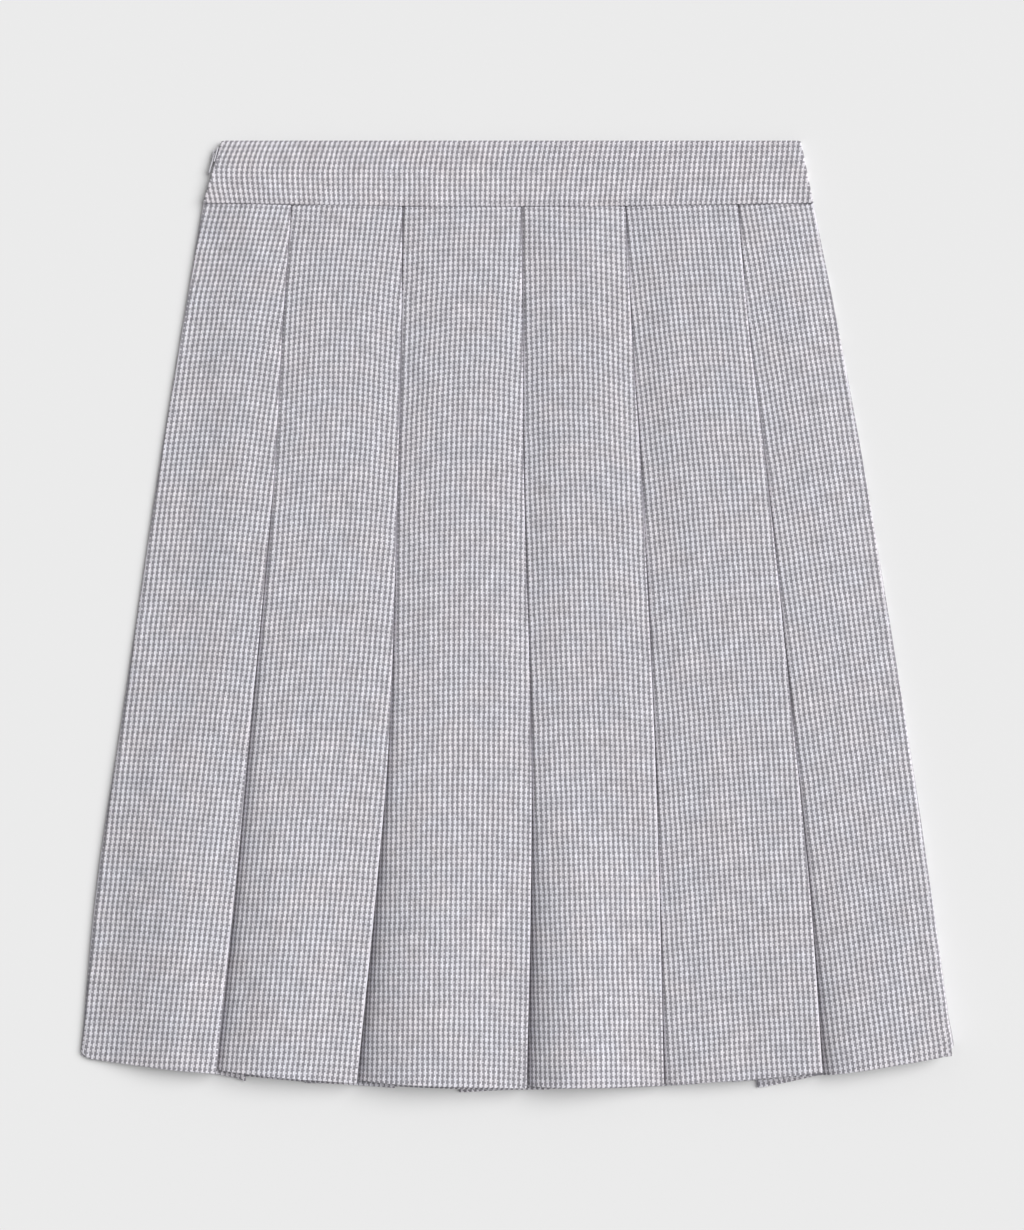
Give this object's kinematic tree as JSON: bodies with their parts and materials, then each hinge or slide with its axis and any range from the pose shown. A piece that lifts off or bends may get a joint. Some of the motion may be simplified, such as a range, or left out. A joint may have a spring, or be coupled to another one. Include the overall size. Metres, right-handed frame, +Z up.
{
  "type": "pleated skirt",
  "caption": "A-line skirt with knife pleats, a plain waistband and a concealed side zip, laid flat on its back.",
  "frame": {"origin": "on the surface the skirt lies on, below the middle of its outline", "axes": "+X to the viewer's right across the skirt, +Y from the hem to the waistband, +Z up from the surface"},
  "size_m": [0.523, 0.5685, 0.0093],
  "materials": {
    "wool check": "matte",
    "zip tape": "matte",
    "zip metal": "satin"
  },
  "bodies": {
    "skirt": {"skirt_front": "wool check", "skirt_back": "wool check", "waistband_front": "wool check", "waistband_back": "wool check", "zip_tape": "zip tape", "zip_slider": "zip metal"},
    "pull": {"zip_pull": "zip metal"}
  },
  "joints": [
    {"name": "pull_swing", "type": "hinge", "parent": "skirt", "child": "pull", "pos_m": [-0.17973, 0.27618, 0.0027], "axis": [0, 0, -1], "range_deg": [0, 165]}
  ]
}
